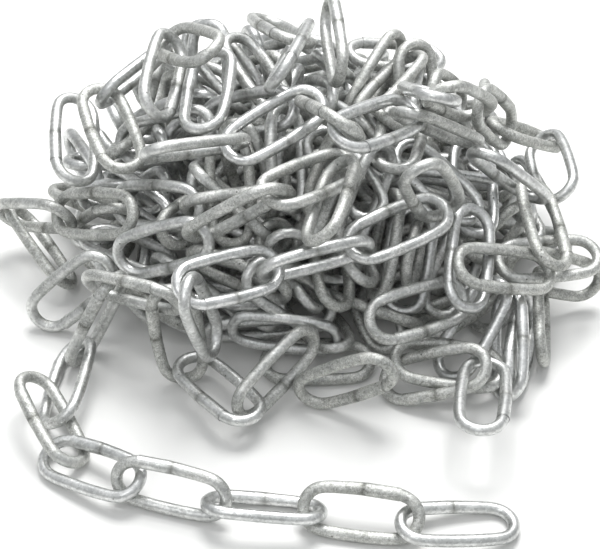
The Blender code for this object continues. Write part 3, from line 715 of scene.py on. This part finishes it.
# %% Nodes
def node(tree, kind, sockets=None, output=None, **settings):
    """Adds a node. Each socket, by name or number, gets a link, an sRGB hex or a number. Gives
    back the named output, or else the node."""
    made = tree.nodes.new(kind)
    for name, setting in settings.items():
        setattr(made, name, setting)
    for key, value in (sockets or {}).items():
        if isinstance(value, bpy.types.NodeSocket):
            tree.links.new(value, made.inputs[key])
        else:
            made.inputs[key].default_value = linear(value) if isinstance(value, str) else value
    return made if output is None else made.outputs[output]


def per_mm(size):
    """Texture scale at which one feature is this many millimetres across."""
    return 1 / (size * MM)


print("a pattern of 0.45 mm has the scale", round(per_mm(0.45)))

# %% Galvanised wire: the patterns
NOISE, CELLS, MATH = "ShaderNodeTexNoise", "ShaderNodeTexVoronoi", "ShaderNodeMath"
RANGE, MIX, ATTRIBUTE = "ShaderNodeMapRange", "ShaderNodeMix", "ShaderNodeAttribute"

zinc = bpy.data.materials.new("galvanised_zinc")
zinc.use_nodes = True
tree = zinc.node_tree
place = node(tree, "ShaderNodeTexCoord", output="Object")
cloud = node(tree, NOISE, {"Vector": place, "Scale": per_mm(6.0), "Detail": 3.0}, "Fac")
stretch = node(tree, NOISE, {"Vector": place, "Scale": per_mm(14.0), "Detail": 1.0}, "Fac")
# The real crust is a little finer, about 0.3 mm, but would not show in the render then.
grain = node(tree, NOISE, {"Vector": place, "Scale": per_mm(0.45), "Detail": 2.0}, "Fac")
crystals = node(tree, CELLS, {"Vector": place, "Scale": per_mm(0.8)}, "Color")
facet = node(tree, "ShaderNodeSeparateColor", {"Color": crystals}, "Red")
from_pit = node(tree, CELLS, {"Vector": place, "Scale": per_mm(6.0)}, "Distance")
tint = node(tree, ATTRIBUTE, None, "Fac", attribute_name=LAYER_TINT)
weld = node(tree, ATTRIBUTE, None, "Fac", attribute_name=LAYER_WELD)
# A link with a high tint has crust on most of its wire, and one with a low tint has none.
crust = node(tree, MATH, {0: tint, 1: 0.6, 2: stretch}, "Value", operation="MULTIPLY_ADD")
crust = node(tree, RANGE, {"Value": crust, "From Min": 0.72, "From Max": 0.90}, "Result")
print("patterns of", zinc.name, "made")

# %% Galvanised wire: the colour
# Socket numbers of the Mix node for colours: its two colours, and its result.
FIRST, SECOND, MIXED = 6, 7, 2

cloudy = node(tree, RANGE, {"Value": cloud, "From Min": 0.35, "From Max": 0.65}, "Result")
colour = node(
    tree, MIX, {0: cloudy, FIRST: "#CFD1D0", SECOND: "#ECEDEC"}, MIXED, data_type="RGBA")
speckle = node(tree, RANGE, {"Value": grain, "From Min": 0.36, "From Max": 0.60}, "Result")
speckle = node(
    tree, MIX, {0: speckle, FIRST: "#D8D8D4", SECOND: "#FFFFFF"}, MIXED, data_type="RGBA")
for share, shade in ((facet, "#D6D6D6"), (tint, "#ECECE9"), (weld, "#B4B4B1"), (crust, speckle)):
    colour = node(tree, MIX, {0: share, FIRST: colour, SECOND: shade}, MIXED,
                  data_type="RGBA", blend_type="MULTIPLY")
pitless = node(tree, RANGE, {"Value": from_pit, "From Min": 0.03, "From Max": 0.07}, "Result")
colour = node(
    tree, MIX, {0: pitless, FIRST: "#62635F", SECOND: colour}, MIXED, data_type="RGBA")
shader = tree.nodes["Principled BSDF"]
shader.inputs["Metallic"].default_value = 1.0
tree.links.new(colour, shader.inputs["Base Color"])
print("colour of", zinc.name, "made")

# %% Galvanised wire: roughness and bump
rough = node(tree, RANGE, {"Value": tint, "To Min": 0.28, "To Max": 0.50}, "Result")
for share, more in ((facet, 0.10), (weld, 0.12), (crust, 0.10)):
    rough = node(tree, MATH, {0: share, 1: more, 2: rough}, "Value", operation="MULTIPLY_ADD")
tree.links.new(rough, shader.inputs["Roughness"])

grainy = node(tree, RANGE, {"Value": crust, "To Min": 0.4, "To Max": 0.85}, "Result")
fine = node(tree, "ShaderNodeBump",
            {"Strength": grainy, "Distance": 0.13 * MM, "Height": grain}, "Normal")
lumpy = node(tree, "ShaderNodeBump",
             {"Strength": 0.6, "Distance": 0.4 * MM, "Height": cloud, "Normal": fine}, "Normal")
tree.links.new(lumpy, shader.inputs["Normal"])
print("made", zinc.name, "of", len(tree.nodes), "nodes")

# %% [markdown]
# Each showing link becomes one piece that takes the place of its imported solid. The other links
# are joined into a few pieces, because hundreds of objects would be slow to handle. A
# Subdivision Surface rounds the coarse cage of each link, so that a repeated link has only a
# few dozen faces of its own.


# %% Placing and declaring a piece
def matrix_at(centre, turn):
    """The place of a link as one matrix in metres."""
    return Matrix.Translation(Vector(centre) * MM) @ Matrix(turn.tolist()).to_4x4()


def finish_piece(name, mesh, levels, *nodes):
    """Makes, smooths, paints and declares a piece of chain."""
    piece = bpy.data.objects.new(name, mesh)
    bpy.context.scene.collection.objects.link(piece)
    mesh.materials.append(zinc)
    rounding = piece.modifiers.new("rounding", "SUBSURF")
    rounding.levels = levels
    rounding.render_levels = levels
    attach(piece, "root")
    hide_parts(*nodes)


print("the packed solids are hidden as their pieces are declared")

# %% The showing links
FINISH_SEED = 3
HALF_TURNS = [np.diag(signs) for signs in ((1, 1, 1), (1, -1, -1), (-1, 1, -1), (-1, -1, 1))]

rng = np.random.default_rng(FINISH_SEED)
for name, centre, turn in zip(link_names, top_centres, top_turns):
    mesh = fine_link.copy()
    mesh.name = f"{name}_wire"
    mesh.transform(matrix_at(centre, turn @ HALF_TURNS[rng.integers(4)]))
    shade = np.full(len(mesh.vertices), rng.random())
    mesh.attributes[LAYER_TINT].data.foreach_set("value", shade)
    finish_piece(f"{name}_wire", mesh, 2, name)
print(len(link_names), "showing links made")


# %% Joining many links
def join_links(name, pattern, links):
    """One mesh of many links, each at its place and with its own tint."""
    build = bmesh.new()
    for centre, turn in zip(*nearest_links(links)):
        old = len(build.verts)
        build.from_mesh(pattern)
        build.verts.ensure_lookup_table()
        added = build.verts[old:]
        place = matrix_at(centre, turn @ HALF_TURNS[rng.integers(4)])
        bmesh.ops.transform(build, matrix=place, verts=added)
        tint = build.verts.layers.float[LAYER_TINT]
        shade = rng.random()
        for vert in added:
            vert[tint] = shade
    mesh = bpy.data.meshes.new(name)
    build.to_mesh(mesh)
    build.free()
    mesh.shade_smooth()
    return mesh


print(len(skin) + len(inside), "links are left for the joined pieces")

# %% The skin and the links inside
bundles = (
    ("skin_links_1", skin_link, skin[::2], 2),
    ("skin_links_2", skin_link, skin[1::2], 2),
    ("inner_links", inner_link, inside, 1),
)
for name, pattern, links, levels in bundles:
    finish_piece(name, join_links(name, pattern, links), levels, "heap_core")
    print(name, "holds", len(links), "links")

# %% [markdown]
# The setting is a pale floor under soft light, seen from where the photo was taken: from in
# front and well above. The studio is bright overhead and darker to the sides, because bare
# metal needs something dark to mirror, or its round shape is lost.

# %% Floor
FLOOR_SIZE = 6.0

bpy.ops.mesh.primitive_plane_add(size=FLOOR_SIZE)
floor = bpy.context.object
floor.name = "floor"
paper = bpy.data.materials.new("white_paper")
paper.use_nodes = True
paper.node_tree.nodes["Principled BSDF"].inputs["Base Color"].default_value = linear("#DEDEDC")
paper.node_tree.nodes["Principled BSDF"].inputs["Roughness"].default_value = 0.8
floor.data.materials.append(paper)
print("floor", FLOOR_SIZE, "m wide")

# %% Camera
VIEW_ELEVATION = 43.0
VIEW_DISTANCE = 0.603
VIEW_TARGET = Vector((0.0, -0.016, 0.0))
FOCAL_PIXELS = 1701.0
PICTURE_WIDTH = 600.0
SENSOR_WIDTH = 36.0

camera = bpy.data.objects.new("camera", bpy.data.cameras.new("camera"))
bpy.context.scene.collection.objects.link(camera)
elevation = math.radians(VIEW_ELEVATION)
away = Vector((0, -math.cos(elevation), math.sin(elevation)))
camera.location = VIEW_TARGET + VIEW_DISTANCE * away
camera.rotation_euler = (math.pi / 2 - elevation, 0, 0)
camera.data.sensor_width = SENSOR_WIDTH
camera.data.lens = FOCAL_PIXELS * SENSOR_WIDTH / PICTURE_WIDTH
camera.data.clip_start = 0.01
bpy.context.scene.camera = camera
print("lens", round(camera.data.lens, 1), "mm")

# %% Light
DARKEST_SKY = 0.5
BRIGHTEST_SKY = 1.1


def soft_light(name, place, target, size, power):
    """A square area light that faces its target."""
    lamp = bpy.data.lights.new(name, "AREA")
    lamp.size = size
    lamp.energy = power
    light = bpy.data.objects.new(name, lamp)
    light.location = place
    way = Vector(target) - Vector(place)
    light.rotation_euler = way.to_track_quat("-Z", "Y").to_euler()
    bpy.context.scene.collection.objects.link(light)


soft_light("softbox_above", (0.05, 0.36, 0.85), (0, 0, 0.03), 0.5, 13.0)
soft_light("softbox_front", (-0.35, -0.60, 0.95), (0, 0, 0.03), 0.35, 1.5)
world = bpy.data.worlds.new("studio")
world.use_nodes = True
tree = world.node_tree
background = tree.nodes["Background"]
background.inputs["Color"].default_value = linear("#EBEDEF")
way = node(tree, "ShaderNodeTexCoord", output="Generated")
height = node(tree, "ShaderNodeSeparateXYZ", {"Vector": way}, "Z")
bright = node(tree, RANGE, {"Value": height, "From Min": 0.1, "From Max": 0.8,
                            "To Min": DARKEST_SKY, "To Max": BRIGHTEST_SKY}, "Result")
tree.links.new(bright, background.inputs["Strength"])
bpy.context.scene.world = world
bpy.context.scene.view_settings.view_transform = "Standard"
bpy.context.scene.view_settings.exposure = -0.2
bpy.context.scene.view_settings.gamma = 1.1
print("lights made")
